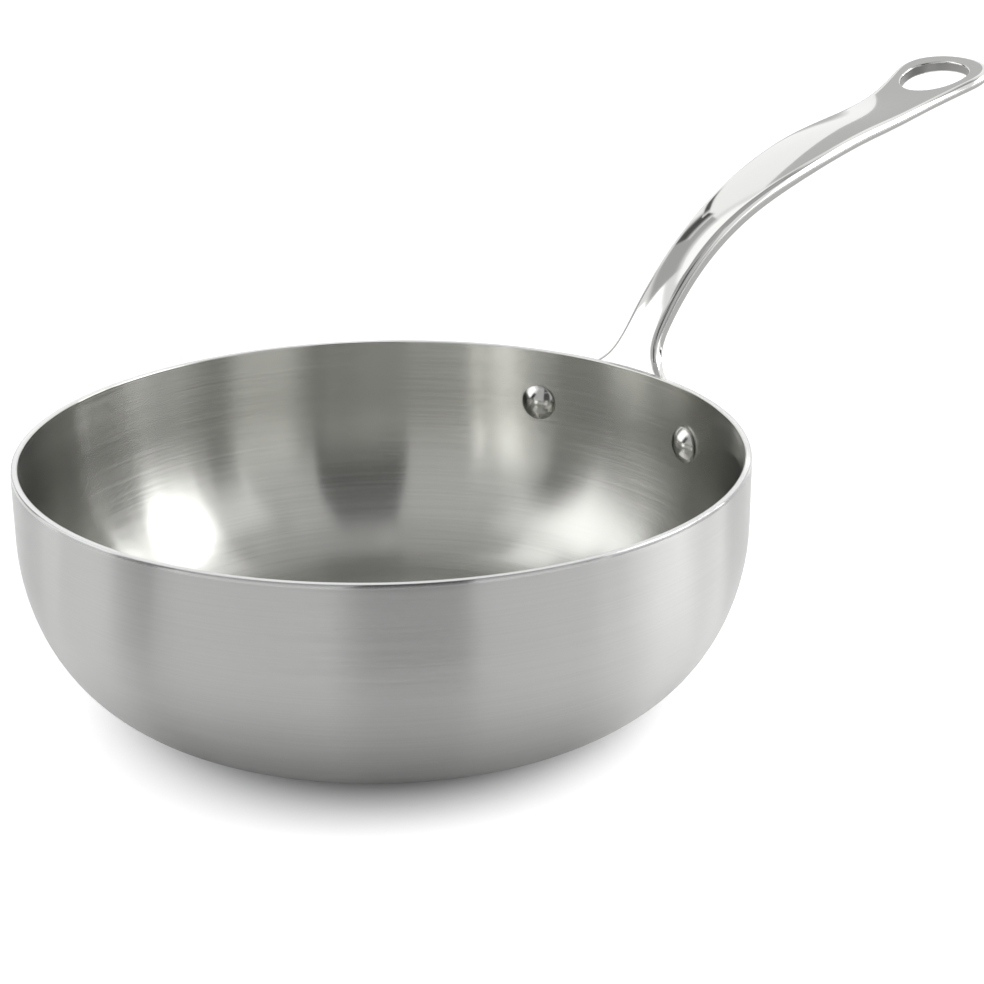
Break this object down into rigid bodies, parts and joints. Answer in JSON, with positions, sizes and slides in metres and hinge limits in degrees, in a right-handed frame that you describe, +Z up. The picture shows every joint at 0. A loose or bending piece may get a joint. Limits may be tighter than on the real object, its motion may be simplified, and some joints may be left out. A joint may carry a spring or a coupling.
{
  "type": "chef pan",
  "caption": "Deep round-sided clad steel pan with a long cast handle riveted to its wall, a hanging eye at the handle's tip and a flat base to stand on a hob.",
  "frame": {"origin": "centre of the flat base, on its underside", "axes": "+X from the pan's axis out along the handle, +Z up to the rim"},
  "size_m": [0.4609, 0.2448, 0.1708],
  "materials": {
    "brushed_steel": "stainless steel sheet, brushed round the pan",
    "core_aluminium": "plain rolled aluminium, seen only as a line at the rim",
    "polished_steel": "cast stainless steel, mirror polished"
  },
  "bodies": {
    "root": {"outer_steel_skin": "brushed_steel", "aluminium_core": "core_aluminium", "inner_steel_liner": "brushed_steel", "handle": "polished_steel", "rivet_left": "polished_steel", "rivet_right": "polished_steel"}
  },
  "joints": []
}
